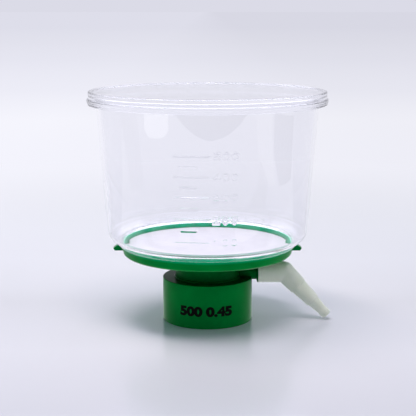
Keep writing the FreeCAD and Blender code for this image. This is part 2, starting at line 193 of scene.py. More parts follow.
def mottled(tree: NodeTree, light: str, dark: str, patch_mm: float) -> NodeSocket:
    """Colour that drifts between two tones in soft patches.

    Args:
        tree: node tree that takes the nodes.
        light: hex colour of the lighter tone.
        dark: hex colour of the darker tone.
        patch_mm: width of a patch.

    Returns:
        The colour socket.
    """
    place = add_node(tree, "TexCoord")
    noise = add_node(
        tree, "TexNoise",
        values={"Scale": 1 / (patch_mm * MM), "Detail": PATCH_DETAIL},
        links={"Vector": place.outputs["Object"]},
    )
    ramp = add_node(tree, "ValToRGB", links={"Fac": noise.outputs["Fac"]})
    for stop, position, tone in zip(ramp.color_ramp.elements, PATCH_ENDS, (dark, light)):
        stop.position = position
        stop.color = linear(tone)
    return ramp.outputs["Color"]


def ramp_along(tree: NodeTree, socket: NodeSocket, tones: Tones) -> NodeSocket:
    """Colour that changes with a measure, such as a distance.

    Args:
        tree: node tree that takes the nodes.
        socket: the measure.
        tones: measure and hex colour of each stop, in order.

    Returns:
        The colour socket.
    """
    low, high = tones[0][0], tones[-1][0]
    place = add_node(tree, "MapRange", values={"From Min": low, "From Max": high}, links={"Value": socket})
    ramp = add_node(tree, "ValToRGB", links={"Fac": place.outputs["Result"]})
    stops = ramp.color_ramp.elements
    for position, tone in tones[1:-1]:
        stops.new((position - low) / (high - low)).color = linear(tone)
    stops[0].color = linear(tones[0][1])
    stops[-1].color = linear(tones[-1][1])
    return ramp.outputs["Color"]


# ---- finishes


@dataclass(frozen=True)
class ClearPolystyrene:
    """General-purpose polystyrene, injection moulded against polished steel.

    It is water clear and bends light more than glass does, so its edges draw thin grey lines and its
    flat walls nearly vanish.
    """

    name: str = "clear_polystyrene_polished_mould"
    tint: str = "#FAFAFC"
    index: float = 1.59
    roughness: float = 0.015
    flow_mm: float = 26.0
    flow_height_mm: float = 0.002
    lamp_share: str = "#EBECEF"

    def build(self) -> Material:
        """Make the material, which also lets lamp light through to what is behind it.

        Returns:
            The material.
        """
        material, tree = blank_material(self.name)
        plastic = add_node(
            tree, "BsdfPrincipled",
            values={
                "Base Color": linear(self.tint),
                "IOR": self.index,
                "Roughness": self.roughness,
                "Transmission Weight": 1.0,
            },
            links={"Normal": fine_bump(tree, self.flow_mm, self.flow_height_mm, detail=0.0)},
        )
        clear = add_node(tree, "BsdfTransparent", values={"Color": linear(self.lamp_share)})
        path = add_node(tree, "LightPath")
        surface = add_node(
            tree, "MixShader",
            links={0: path.outputs["Is Shadow Ray"], 1: plastic.outputs[0], 2: clear.outputs[0]},
        )
        finish_surface(tree, surface)
        return material


@dataclass(frozen=True)
class GrainedFinish:
    """Opaque finish whose tone drifts in soft patches over a fine grain, as the real ones below do.

    The lighter tone comes first, and a grain's width before its height. The mirror is how strongly it
    reflects, where 0.5 is what most plastics do.
    """

    name: str
    tones: tuple[str, str]
    patch_mm: float
    roughness: float
    grain_mm: Pair
    grain_detail: float = 2.0
    mirror: float = 0.5

    def colour(self, tree: NodeTree) -> NodeSocket:
        """Colour over the surface."""
        return mottled(tree, *self.tones, self.patch_mm)

    def values(self) -> dict[str, object]:
        """Plain values of the shader."""
        return {"Roughness": self.roughness, "Specular IOR Level": self.mirror}

    def build(self) -> Material:
        """Make the material.

        Returns:
            The material.
        """
        material, tree = blank_material(self.name)
        shader = add_node(
            tree, "BsdfPrincipled",
            values=self.values(),
            links={
                "Base Color": self.colour(tree),
                "Normal": fine_bump(tree, *self.grain_mm, self.grain_detail),
            },
        )
        finish_surface(tree, shader)
        return material


@dataclass(frozen=True)
class GreenMoulding(GrainedFinish):
    """Green ABS, injection moulded, glossy from the tool with a faint texture of flow.

    Recesses are darkened almost to black in the colour itself, as painted shade. Where the clear cup is
    bonded on, at the top of the rim, the colour is painted brighter and bluer, as painted light for the
    light that the cup's wall leads down.
    """

    name: str = "green_abs_moulded"
    tones: tuple[str, str] = ("#008D39", "#008735")
    patch_mm: float = 9.0
    roughness: float = 0.28
    grain_mm: Pair = (0.5, 0.004)
    mirror: float = 0.03
    mirror_tint: str = "#00E4DA"
    # painted shade: the colour is darkened in recesses, by how enclosed each point is within this reach,
    # down to this share of its tone
    crevice_mm: float = 17.0
    crevice_dark: float = 0.08
    crevice_samples: int = 8
    # painted light: the colour turns brighter and bluer towards this tone between these two heights at the
    # top of the rim
    bonded: str = "#00CC92"
    bonded_mm: Pair = (40.4, 43.2)

    def colour(self, tree: NodeTree) -> NodeSocket:
        """Pigment, painted brighter and bluer towards the bonded edge as light, and painted darker in
        recesses as shade.

        Args:
            tree: node tree that takes the nodes.

        Returns:
            The colour socket.
        """
        place = add_node(tree, "TexCoord")
        apart = add_node(tree, "SeparateXYZ", links={0: place.outputs["Object"]})
        # painted light: a brighter, bluer band of colour at the top of the rim
        painted_light_band = add_node(
            tree, "MapRange",
            values={"From Min": self.bonded_mm[0] * MM, "From Max": self.bonded_mm[1] * MM},
            links={"Value": apart.outputs["Z"]},
        )
        pigment = add_node(
            tree, "Mix", data_type="RGBA",
            values={MIX_SECOND: linear(self.bonded)},
            links={MIX_SHARE: painted_light_band.outputs["Result"], MIX_FIRST: super().colour(tree)},
        )
        # painted shade: the colour is scaled down where the moulding encloses a point
        openness = add_node(
            tree, "AmbientOcclusion", samples=self.crevice_samples, only_local=True,
            values={"Distance": self.crevice_mm * MM},
        )
        painted_shade = add_node(
            tree, "MapRange",
            values={"To Min": self.crevice_dark, "To Max": 1.0}, links={"Value": openness.outputs["AO"]},
        )
        shaded = add_node(
            tree, "VectorMath", operation="SCALE",
            links={0: pigment.outputs[MIX_RESULT], "Scale": painted_shade.outputs["Result"]},
        )
        return shaded.outputs["Vector"]

    def values(self) -> dict[str, object]:
        """Plain values of the shader: its weak reflection is tinted."""
        return super().values() | {"Specular Tint": linear(self.mirror_tint)}


@dataclass(frozen=True)
class CastMembrane(GrainedFinish):
    """Cast polymer membrane: matt, chalk white, with pores too fine to see.

    The pores are drawn as 0.3 mm grain, which is as fine as shows.
    """

    name: str = "white_membrane_cast"
    tones: tuple[str, str] = ("#DCDCDF", "#D7D7DB")
    patch_mm: float = 6.0
    roughness: float = 0.85
    grain_mm: Pair = (0.3, 0.01)
    mirror: float = 0.02


@dataclass(frozen=True)
class NaturalPolypropylene(GrainedFinish):
    """Natural polypropylene, moulded without pigment: milky, waxy, and light soaks into it."""

    name: str = "natural_polypropylene_moulded"
    # its own milky tone, tinted a little green as painted bounce light from the green moulding
    tones: tuple[str, str] = ("#F3F7E6", "#EDF2DE")
    patch_mm: float = 7.0
    roughness: float = 0.24
    grain_mm: Pair = (0.7, 0.006)
    soak: float = 0.35
    soak_mm: float = 1.6
    soak_by_colour: Corner = (1.0, 1.0, 0.9)

    def values(self) -> dict[str, object]:
        """Plain values of the shader: light goes in and comes out nearby."""
        return super().values() | {
            "Subsurface Weight": self.soak,
            "Subsurface Radius": self.soak_by_colour,
            "Subsurface Scale": self.soak_mm * MM,
        }


@dataclass(frozen=True)
class SiliconeSeal(GrainedFinish):
    """White silicone rubber, moulded: soft sheen and a dusty skin."""

    name: str = "white_silicone_moulded"
    tones: tuple[str, str] = ("#E2E2DE", "#D8D8D3")
    patch_mm: float = 4.0
    roughness: float = 0.55
    grain_mm: Pair = (0.4, 0.01)


@dataclass(frozen=True)
class PressedFibre(GrainedFinish):
    """Cellulose fibre plug, pressed: rough and open at its ends."""

    name: str = "white_fibre_pressed"
    tones: tuple[str, str] = ("#EDECE6", "#DAD9D2")
    patch_mm: float = 0.5
    roughness: float = 0.95
    grain_mm: Pair = (0.15, 0.08)
    grain_detail: float = 4.0
    fuzz: float = 0.3

    def values(self) -> dict[str, object]:
        """Plain values of the shader: loose fibre ends catch light at the edges."""
        return super().values() | {"Sheen Weight": self.fuzz}


@dataclass(frozen=True)
class PadPrintInk(GrainedFinish):
    """Black pad-printing ink: a thin satin film whose tone is almost even."""

    name: str = "black_ink_pad_printed"
    tones: tuple[str, str] = ("#010201", "#000100")
    patch_mm: float = 1.2
    roughness: float = 0.6
    grain_mm: Pair = (0.25, 0.004)
    mirror: float = 0.04


# ---- mesh making


def arc_points(start: Point, end: Point, radius: float, bulge_left: bool, steps: int) -> list[Point]:
    """Points along an arc, without its two ends.

    Args:
        start: first end.
        end: second end.
        radius: the arc's radius.
        bulge_left: whether the arc's middle lies left of the way from start to end.
        steps: number of chords.

    Returns:
        The points between the ends, in order.
    """
    first, last = Vector(start), Vector(end)
    chord = last - first
    left = Vector((-chord.y, chord.x)).normalized() * (1 if bulge_left else -1)
    centre = (first + last) / 2 - left * math.sqrt(max(radius**2 - (chord.length / 2) ** 2, 0.0))
    from_angle = math.atan2(first.y - centre.y, first.x - centre.x)
    sweep = 2 * math.asin(min(1.0, chord.length / 2 / radius)) * (-1 if bulge_left else 1)
    return [
        (centre.x + radius * math.cos(from_angle + sweep * step / steps),
         centre.y + radius * math.sin(from_angle + sweep * step / steps))
        for step in range(1, steps)
    ]


def rounded_corner(before: Point, corner: Point, after: Point, radius: float) -> list[Point]:
    """Replace a corner of an outline by a tangent arc.

    A guard point stands close to each end of the arc, so that smooth shading stays off the flat faces.

    Args:
        before: neighbour on one side.
        corner: the sharp corner.
        after: neighbour on the other side.
        radius: the arc's radius.

    Returns:
        The arc's points, ends and guard points included.
    """
    here = Vector(corner)
    back, ahead = (Vector(before) - here), (Vector(after) - here)
    half = back.angle(ahead) / 2
    reach = min(radius / math.tan(half), ROUND_SHARE * back.length, ROUND_SHARE * ahead.length)
    start, end = here + back.normalized() * reach, here + ahead.normalized() * reach
    true_radius = reach * math.tan(half)
    turn = (here.x - start.x) * (end.y - here.y) - (here.y - start.y) * (end.x - here.x)
    middle = arc_points(tuple(start), tuple(end), true_radius, turn < 0, ROUND_STEPS)
    guard = reach + min(GUARD, GUARD_SHARE * reach)
    return [
        tuple(here + back.normalized() * guard), tuple(start), *middle,
        tuple(end), tuple(here + ahead.normalized() * guard),
    ]


def outline(
    corners: Sequence[Point],
    arcs: Mapping[int, tuple[float, bool]] | None = None,
    rounds: Mapping[int, float] | None = None,
    rows: Mapping[int, int] | None = None,
) -> Array:
    """Closed outline in radius and height.

    Args:
        corners: the corners, in order round the section.
        arcs: edge number to (radius, bulge_left), for an edge that is an arc.
        rounds: corner number to the radius that softens it.
        rows: edge number to the number of parts that a straight edge is cut into.

    Returns:
        An array of points, one row each.
    """
    arcs, rounds, rows = arcs or {}, rounds or {}, rows or {}
    points: list[Point] = []
    for index, corner in enumerate(corners):
        following = corners[(index + 1) % len(corners)]
        if index in rounds:
            points += rounded_corner(corners[index - 1], corner, following, rounds[index])
        else:
            points.append(corner)
        if index in arcs:
            radius, bulge_left = arcs[index]
            points += arc_points(corner, following, radius, bulge_left, ARC_STEPS)
        elif index in rows:
            start = Vector(points[-1])
            points += [
                tuple(start.lerp(Vector(following), step / rows[index])) for step in range(1, rows[index])
            ]
    return np.array(points)


def even_turn(count: int) -> Array:
    """Angles that divide a full turn evenly."""
    return np.arange(count) * math.tau / count


def linked(name: str, data: ID) -> Object:
    """Make an object of a mesh, lamp, camera or text, and link it to the scene.

    Args:
        name: the object's name.
        data: what it shows.

    Returns:
        The linked object.
    """
    item = bpy.data.objects.new(name, data)
    bpy.context.scene.collection.objects.link(item)
    return item


def flat_object(name: str, corners: Sequence[Corner]) -> Object:
    """Make an object of one flat face, with its corners in order."""
    mesh = bpy.data.meshes.new(name)
    mesh.from_pydata(list(corners), [], [tuple(range(len(corners)))])
    return linked(name, mesh)


def mesh_object(name: str, vertices: Array, faces: Sequence[Sequence[int]]) -> Object:
    """Make a smooth-shaded object, with crisp edges kept where its faces turn sharply.

    Args:
        name: the object's name.
        vertices: points, one row each.
        faces: vertex numbers of each face.

    Returns:
        The linked object.
    """
    mesh = bpy.data.meshes.new(name)
    mesh.from_pydata(vertices.tolist(), [], faces)
    shape = bmesh.new()
    shape.from_mesh(mesh)
    bmesh.ops.remove_doubles(shape, verts=shape.verts, dist=MERGE_DISTANCE)
    bmesh.ops.recalc_face_normals(shape, faces=shape.faces)
    shape.to_mesh(mesh)
    shape.free()
    mesh.polygons.foreach_set("use_smooth", [True] * len(mesh.polygons))
    mesh.set_sharp_from_angle(angle=CRISP_ANGLE)
    return linked(name, mesh)


def turned(name: str, section: Array, angles: Array, relief: Callable[..., Array] | None = None) -> Object:
    """Turn a closed section about the Z axis.

    Args:
        name: the object's name.
        section: closed outline in radius and height.
        angles: the angles at which the section stands.
        relief: gives, for angle, radius and height, how far a point moves outwards.

    Returns:
        The linked object.
    """
    rings, stations = len(section), len(angles)
    angle = np.repeat(angles[None, :], rings, axis=0)
    radius = np.repeat(section[:, :1], stations, axis=1)
    height = np.repeat(section[:, 1:], stations, axis=1)
    if relief is not None:
        radius = radius + relief(angle, radius, height)
    vertices = np.stack([radius * np.cos(angle), radius * np.sin(angle), height], axis=-1)
    number = np.arange(rings * stations).reshape(rings, stations)
    above = np.roll(number, -1, axis=0)
    faces = np.stack([number, np.roll(number, -1, axis=1), np.roll(above, -1, axis=1), above], axis=-1)
    return mesh_object(name, vertices.reshape(-1, 3), faces.reshape(-1, 4).tolist())


def dress(item: Object, material: Material) -> None:
    """Give an object one material in place of those it has."""
    item.data.materials.clear()
    item.data.materials.append(material)


# ---- numerals


def ellipse_arc(centre: Point, half: Point, start: float, end: float, steps: int = 12) -> list[Point]:
    """Points along part of an ellipse.

    Args:
        centre: its centre.
        half: half its width and half its height.
        start: first angle in degrees.
        end: last angle in degrees.
        steps: number of chords.

    Returns:
        The points, ends included.
    """
    angles = [math.radians(start + (end - start) * step / steps) for step in range(steps + 1)]
    return [
        (centre[0] + half[0] * math.cos(turn), centre[1] + half[1] * math.sin(turn)) for turn in angles
    ]


# centre lines of the numerals in a box one unit wide and one unit high
NUMERALS: dict[str, list[list[Point]]] = {
    "0": [ellipse_arc((0.5, 0.5), (0.5, 0.5), 0, 360, 20)],
    "1": [[(0.25, 0.8), (0.55, 1.0), (0.55, 0.0)]],
    "2": [[*ellipse_arc((0.5, 0.7), (0.46, 0.3), 165, -35), (0.0, 0.0), (1.0, 0.0)]],
    "3": [
        ellipse_arc((0.45, 0.77), (0.42, 0.23), 150, -90), ellipse_arc((0.45, 0.27), (0.5, 0.27), 90, -150),
    ],
    "4": [[(0.75, 0.0), (0.75, 1.0), (0.0, 0.3), (1.0, 0.3)]],
    "5": [[(0.92, 1.0), (0.16, 1.0), (0.1, 0.56), *ellipse_arc((0.48, 0.32), (0.5, 0.32), 125, -145)]],
}


@dataclass
class Graduations:
    """Raised volume marks on the cup's front, as strokes along the wall.

    The levels are heights in millimetres, by volume in millilitres. The marks reach from one angle to
    another, in degrees from the front, as the middle of the numerals is.
    """

    levels: Mapping[int, float] = field(default_factory=lambda: {
        100: 54.0, 150: 59.7, 200: 65.5, 250: 71.2, 300: 76.6, 350: 81.9, 400: 87.0, 450: 92.1, 500: 97.2,
    })
    long_mark: Pair = (-17.0, 0.9)
    short_mark: Pair = (-13.8, -5.5)
    numerals_centre: float = 9.2
    numeral_height: float = 3.2 * MM
    numeral_width: float = 3.3 * MM
    numeral_pitch: float = 4.6 * MM
    stroke: float = 0.42 * MM
    relief: float = 0.075 * MM
    edge: float = 0.16 * MM
    margin: float = 2.6 * MM
    fine_row: float = 0.16 * MM
    coarse_row: float = 0.7 * MM
    line_reach: float = 0.5 * MM
    numeral_reach: float = 0.62

    def segments(self, radius_at: Callable[[float], float]) -> Array:
        """Strokes as straight pieces, in distance along the wall from the front and in height.

        Args:
            radius_at: the cup's outer radius at a height.

        Returns:
            An array of (start across, start up, end across, end up).
        """
        pieces: list[tuple[float, float, float, float]] = []
        for volume, level in self.levels.items():
            height = level * MM
            radius = radius_at(height)
            numbered = volume % 100 == 0
            low, high = self.long_mark if numbered else self.short_mark
            pieces.append((math.radians(low) * radius, height, math.radians(high) * radius, height))
            if not numbered:
                continue
            middle = math.radians(self.numerals_centre) * radius
            for place, character in enumerate(str(volume)):
                centre = middle + (place - 1) * self.numeral_pitch
                for stroke in NUMERALS[character]:
                    path = [
                        (centre + (across - 0.5) * self.numeral_width,
                         height + (up - 0.5) * self.numeral_height)
                        for across, up in stroke
                    ]
                    pieces += [(*start, *end) for start, end in zip(path, path[1:])]
        return np.array(pieces)

    def rows(self, low: float, high: float) -> list[float]:
        """Heights of the mesh's rows between two heights: close together over the marks.

        Args:
            low: lower height.
            high: upper height.

        Returns:
            The heights between them, in order.
        """
        heights = [low]
        while heights[-1] < high:
            here = heights[-1]
            apart = min(abs(here - level * MM) for level in self.levels.values())
            numbered = any(
                volume % 100 == 0 and abs(here - level * MM) < self.numeral_reach * self.numeral_height
                for volume, level in self.levels.items()
            )
            fine = apart < self.line_reach or numbered
            heights.append(here + (self.fine_row if fine else self.coarse_row))
        return heights[1:-1]

    def height_over(self, segments: Array, across: Array, up: Array) -> Array:
        """How far the wall stands out at each point.

        Args:
            segments: strokes from segments().
            across: distance of each point along the wall from the front.
            up: height of each point.

        Returns:
            The relief of each point.
        """
        nearest = np.full(across.shape, np.inf)
        for start_across, start_up, end_across, end_up in segments:
            run_across, run_up = end_across - start_across, end_up - start_up
            past, above = across - start_across, up - start_up
            share = np.clip((past * run_across + above * run_up) / (run_across**2 + run_up**2), 0, 1)
            nearest = np.minimum(nearest, np.hypot(past - share * run_across, above - share * run_up))
        fade = np.clip((self.stroke / 2 + self.edge - nearest) / self.edge, 0, 1)
        return self.relief * fade * fade * (3 - 2 * fade)


# ---- the unit's pieces


@dataclass
class Funnel:
    """Clear 500 ml cup: foot bonded on the green rim, tapered wall, flange, and volume marks."""

    finish: Material
    foot_low: float = 42.1 * MM
    foot_bore: float = 47.15 * MM
    foot_radius: float = 48.0 * MM
    foot_high: float = 43.6 * MM
    foot_turn: float = 7.6 * MM
    seat: float = 43.33 * MM
    low_radius: float = 54.3 * MM
    low: float = 50.15 * MM
    slope: float = 0.0764
    wall: float = 1.9 * MM
    floor_bore: float = 45.75 * MM
    floor_edge: float = 48.7 * MM
    floor_top: float = 45.6 * MM
    floor_turn: float = 4.7 * MM
    flange_low: float = 118.27 * MM
    flange_step: float = 119.55 * MM
    flange_step_width: float = 0.35 * MM
    flange_top: float = 121.25 * MM
    lip_width: float = 1.4 * MM
    foot_round: float = 0.15 * MM
    floor_round: float = 0.2 * MM
    flange_root_round: float = 0.5 * MM
    flange_low_round: float = 0.3 * MM
    flange_step_round: float = 0.25 * MM
    flange_top_round: float = 0.35 * MM
    lip_round: float = 0.3 * MM
    top_rows: int = 6
    bore_rows: int = 24
    marks: Graduations = field(default_factory=Graduations)
    marks_above_low: float = 0.5 * MM
    marks_below_flange: float = 8 * MM
    marks_off_wall: float = 0.05 * MM

    def radius_at(self, height: float | Array) -> float | Array:
        """Outer radius of the straight wall at a height, or at each of many."""
        return self.low_radius + (height - self.low) * self.slope

    def section(self) -> Array:
        """Section of the cup, with fine rows where the marks stand.

        Returns:
            Its closed outline in radius and height.
        """
        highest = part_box("funnel")[1]
        flange_radius, lip_top = highest.x, highest.z
        marks_low = min(self.marks.levels.values()) * MM - self.marks.margin
        marks_high = max(self.marks.levels.values()) * MM + self.marks.margin
        lip = self.radius_at(self.flange_top) - self.wall + self.lip_width
        corners = [
            (self.foot_bore, self.foot_low),
            (self.foot_radius, self.foot_low),
            (self.foot_radius, self.foot_high),
            (self.low_radius, self.low),
            (self.radius_at(marks_low), marks_low),
            (self.radius_at(marks_high), marks_high),
            (self.radius_at(self.flange_low), self.flange_low),
            (flange_radius - self.flange_step_width, self.flange_low),
            (flange_radius - self.flange_step_width, self.flange_step),
            (flange_radius, self.flange_step),
            (flange_radius, self.flange_top),
            (lip, self.flange_top),
            (lip, lip_top),
            (self.radius_at(lip_top) - self.wall, lip_top),
            (self.radius_at(self.low) - self.wall, self.low),
            (self.floor_edge, self.floor_top),
            (self.floor_bore, self.floor_top),
            (self.floor_bore, self.seat),
            (self.foot_bore, self.seat),
        ]
        points = outline(
            corners,
            arcs={2: (self.foot_turn, False), 14: (self.floor_turn, True)},
            rounds={
                0: self.foot_round, 1: self.foot_round, 6: self.flange_root_round,
                7: self.flange_low_round, 9: self.flange_step_round, 10: self.flange_top_round,
                11: self.lip_round, 12: self.lip_round, 13: self.lip_round, 16: self.floor_round,
            },
            rows={5: self.top_rows, 13: self.bore_rows},
        )
        from_start = np.abs(points - (self.radius_at(marks_low), marks_low)).sum(axis=1)
        start = int(np.argmin(from_start))
        fine = [(self.radius_at(height), height) for height in self.marks.rows(marks_low, marks_high)]
        return np.concatenate([points[:start + 1], fine, points[start + 1:]])

    def angles(self) -> Array:
        """Angles of the turned mesh: close over the marks, closest over the numerals, wider elsewhere.

        Returns:
            The angles about the axis, in order.
        """
        over_marks = np.arange(-18.0, 1.6, 0.4)
        over_numerals = np.arange(1.6, 16.8, 0.16)
        elsewhere = np.linspace(17.0, 342.0, 160)[:-1]
        return FRONT + np.radians(np.concatenate([over_marks, over_numerals, elsewhere]))

    def relief(self, angle: Array, radius: Array, height: Array) -> Array:
        """How far each point of the turned section stands out for the marks.

        Args:
            angle: angle of each point about the axis.
            radius: radius of each point.
            height: height of each point.

        Returns:
            The relief of each point, which is nothing off the outer wall.
        """
        turn = np.mod(angle - FRONT + math.pi, math.tau) - math.pi
        wall = self.radius_at(height)
        outside = np.abs(radius - wall) < self.marks_off_wall
        above = height > self.low + self.marks_above_low
        marked = outside & above & (height < self.flange_low - self.marks_below_flange)
        moved = np.zeros(angle.shape)
        moved[marked] = self.marks.height_over(
            self.marks.segments(self.radius_at), (turn * wall)[marked], height[marked]
        )
        return moved

    def build(self) -> None:
        """Make the cup in place of its CAD solid."""
        cup = turned("funnel_clear", self.section(), self.angles(), self.relief)
        dress(cup, self.finish)
        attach(cup, "base_unit")
        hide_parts("funnel")


@dataclass
class Lid:
    """Clear lid: thin plate, low bead round its top, short skirt that rests on the flange."""

    finish: Material
    wall: float = 1.6 * MM
    skirt_width: float = 1.7 * MM
    recess: float = 0.5 * MM
    bead: float = 2.4 * MM
    corner_round: float = 0.5 * MM
    skirt_round: float = 0.4 * MM
    edge_round: float = 0.8 * MM
    bead_round: float = 0.7 * MM
    recess_round: float = 0.6 * MM
    plate_rows: int = 8
    segments: int = 800

    def build(self) -> None:
        """Make the lid in place of its CAD solid."""
        lowest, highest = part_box("lid")
        radius, top, bottom = highest.x, highest.z, lowest.z
        under = top - self.wall - self.recess
        section = outline(
            [
                (0.0, under),
                (radius - self.skirt_width, under),
                (radius - self.skirt_width, bottom),
                (radius, bottom),
                (radius, top),
                (radius - self.bead, top),
                (radius - self.bead - self.recess, top - self.recess),
                (0.0, top - self.recess),
            ],
            rounds={
                1: self.corner_round, 2: self.skirt_round, 3: self.skirt_round,
                4: self.edge_round, 5: self.bead_round, 6: self.recess_round,
            },
            rows={0: self.plate_rows, 6: self.plate_rows},
        )
        lid = turned("lid_clear", section, even_turn(self.segments))
        dress(lid, self.finish)
        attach(lid, "lid")
        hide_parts("lid")


@dataclass
class Membrane:
    """White filter disc that dips very slightly between the ribs below it."""

    finish: Material
    ribs: int = 16
    dip: float = 0.05 * MM
    rim: float = 1.6 * MM
    settle: float = 6 * MM
    rings: int = 40
    stations: int = 160

    def build(self) -> None:
        """Make the disc in place of its CAD solid."""
        lowest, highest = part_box("membrane")
        radius, low, high = highest.x, lowest.z, highest.z
        rings = np.linspace(0.0, radius, self.rings)
        top = [(ring, high) for ring in rings]
        bottom = [(ring, low) for ring in rings[::-1]]
        sheet = turned("membrane_sheet", np.array(top + bottom), even_turn(self.stations))
        for vertex in sheet.data.vertices:
            out = math.hypot(vertex.co.x, vertex.co.y)
            inside = max(0.0, min(1.0, (radius - self.rim - out) / self.settle))
            between = 0.5 - 0.5 * math.cos(self.ribs * math.atan2(vertex.co.y, vertex.co.x))
            if vertex.co.z > (low + high) / 2:
                vertex.co.z -= self.dip * inside * between
        dress(sheet, self.finish)
        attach(sheet, "base_unit")
        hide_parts("membrane")


@dataclass
class SkirtNumerals:
    """Plain numbers pad-printed on the front of the skirt."""

    finish: Material
    text: str = "500 0.45"
    skirt_radius: float = 24.5 * MM
    low: float = 6.8 * MM
    high: float = 12.4 * MM
    left_degrees: float = -36.4
    right_degrees: float = 32.3
    film: float = 0.03 * MM
    strip: float = 0.6 * MM
    weight: float = 0.06
    glyph_depth: float = 0.01
    glyph_steps: int = 6

    def flat(self) -> Mesh:
        """The text as a thin flat solid, in the font's own size.

        Returns:
            Its mesh.
        """
        curve = bpy.data.curves.new("skirt_text", "FONT")
        curve.body = self.text
        curve.offset = self.weight
        curve.extrude = self.glyph_depth
        curve.resolution_u = self.glyph_steps
        holder = linked("skirt_text", curve)
        bpy.context.view_layer.update()
        graph = bpy.context.evaluated_depsgraph_get()
        mesh = bpy.data.meshes.new_from_object(holder.evaluated_get(graph))
        bpy.data.objects.remove(holder)
        bpy.data.curves.remove(curve)
        return mesh

    def build(self) -> None:
        """Wrap the text on the skirt."""
        mesh = self.flat()
        points = np.array([vertex.co for vertex in mesh.vertices])
        (x_low, y_low, _), (x_high, y_high, _) = points.min(0), points.max(0)
        radius = self.skirt_radius
        left = math.radians(self.left_degrees) * radius
        width = math.radians(self.right_degrees) * radius - left
        shape = bmesh.new()
        shape.from_mesh(mesh)
        for vertex in shape.verts:
            vertex.co.x = left + (vertex.co.x - x_low) / (x_high - x_low) * width
            vertex.co.y = self.low + (vertex.co.y - y_low) / (y_high - y_low) * (self.high - self.low)
            vertex.co.z = self.film if vertex.co.z > 0 else -self.film
        for cut in np.arange(left + self.strip, left + width, self.strip):
            bmesh.ops.bisect_plane(
                shape, geom=shape.verts[:] + shape.edges[:] + shape.faces[:],
                plane_co=(cut, 0, 0), plane_no=(1, 0, 0),
            )
        for vertex in shape.verts:
            across, up, out = vertex.co
            turn = FRONT + across / radius
            vertex.co = ((radius + out) * math.cos(turn), (radius + out) * math.sin(turn), up)
        bmesh.ops.recalc_face_normals(shape, faces=shape.faces)
        shape.to_mesh(mesh)
        shape.free()
        print_ink = linked("skirt_numerals", mesh)
        dress(print_ink, self.finish)
        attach(print_ink, "base_unit")


@dataclass
class CarriedNodes:
    """CAD nodes whose own shape is right: they keep it and get their real finish."""

    finishes: Mapping[str, Material]

    def build(self) -> None:
        """Dress each node."""
        for node, material in self.finishes.items():
            dress(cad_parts[node], material)


# ---- studio and camera


class Visibility(Enum):
    """Which rays miss a lamp or a card; its value lists them."""

    MIRRORED_ONLY = ("camera", "diffuse", "transmission", "shadow", "volume_scatter")
    LIGHTS_ONLY = ("camera", "glossy", "transmission")

    def apply(self, item: Object) -> None:
        """Hide an object from the rays that miss it."""
        for kind in self.value:
            setattr(item, f"visible_{kind}", False)


def standing(start: float, end: float, low: float, high: float) -> tuple[Corner, ...]:
    """Corners of an upright card round the unit.

    Args:
        start: direction of one side, in degrees from the front towards +X.
        end: direction of the other side.
        low: height of its bottom in metres.
        high: height of its top in metres.

    Returns:
        Its four corners.
    """
    foot = [
        (CARD_DISTANCE * math.sin(turn), -CARD_DISTANCE * math.cos(turn))
        for turn in (math.radians(start), math.radians(end))
    ]
    return (*foot[0], low), (*foot[1], low), (*foot[1], high), (*foot[0], high)


def front_arc(height: float, radius: float, back: float) -> tuple[Corner, ...]:
    """Corners of a level card that fills the front of a circle about the unit's axis.

    Args:
        height: its height in metres.
        radius: the circle's radius.
        back: how far back it reaches, in Y.

    Returns:
        Its corners.
    """
    start = math.asin(back / radius)
    turns = np.linspace(math.pi - start, math.tau + start, FRONT_CORNERS)
    return tuple((radius * math.cos(turn), radius * math.sin(turn), height) for turn in turns)


def lying(height: float, *corners: Point) -> tuple[Corner, ...]:
    """Corners of a level card at a height in metres."""
    return tuple((x, y, height) for x, y in corners)


@dataclass(frozen=True)
class Card:
    """Flat card round the unit that shows only as a reflection on it, and only on its near side.

    Bright cards give the soft highlights of a studio, and dark ones the grey bands between them.
    """

    name: str
    colour: str
    strength: float
    corners: tuple[Corner, ...]

    def build(self) -> None:
        """Make the card, with its near side towards the unit."""
        item = flat_object(self.name, self.corners)
        face = item.data.polygons[0]
        if face.normal.dot(UNIT_MIDDLE - face.center) < 0:
            item.data.flip_normals()
        material, tree = blank_material(self.name)
        glow = add_node(tree, "Emission", values={"Color": linear(self.colour), "Strength": self.strength})
        nothing = add_node(tree, "BsdfTransparent")
        side = add_node(tree, "NewGeometry")
        surface = add_node(
            tree, "MixShader",
            links={0: side.outputs["Backfacing"], 1: glow.outputs[0], 2: nothing.outputs[0]},
        )
        finish_surface(tree, surface)
        dress(item, material)
        Visibility.MIRRORED_ONLY.apply(item)


@dataclass(frozen=True)
class Lamp:
    """Soft rectangular lamp that faces the unit, and lights it without showing as a reflection."""

    name: str
    place: Corner
    size: Pair
    power: float
    colour: str = "#FFF3F2"

    def build(self) -> None:
        """Hang the lamp and turn it to the unit."""
        light = bpy.data.lights.new(self.name, "AREA")
        light.shape = "RECTANGLE"
        light.size, light.size_y = self.size
        light.energy = self.power
        light.color = linear(self.colour)[:3]
        item = linked(self.name, light)
        item.location = self.place
        item.rotation_euler = (UNIT_MIDDLE - item.location).to_track_quat("-Z", "Y").to_euler()
        Visibility.LIGHTS_ONLY.apply(item)


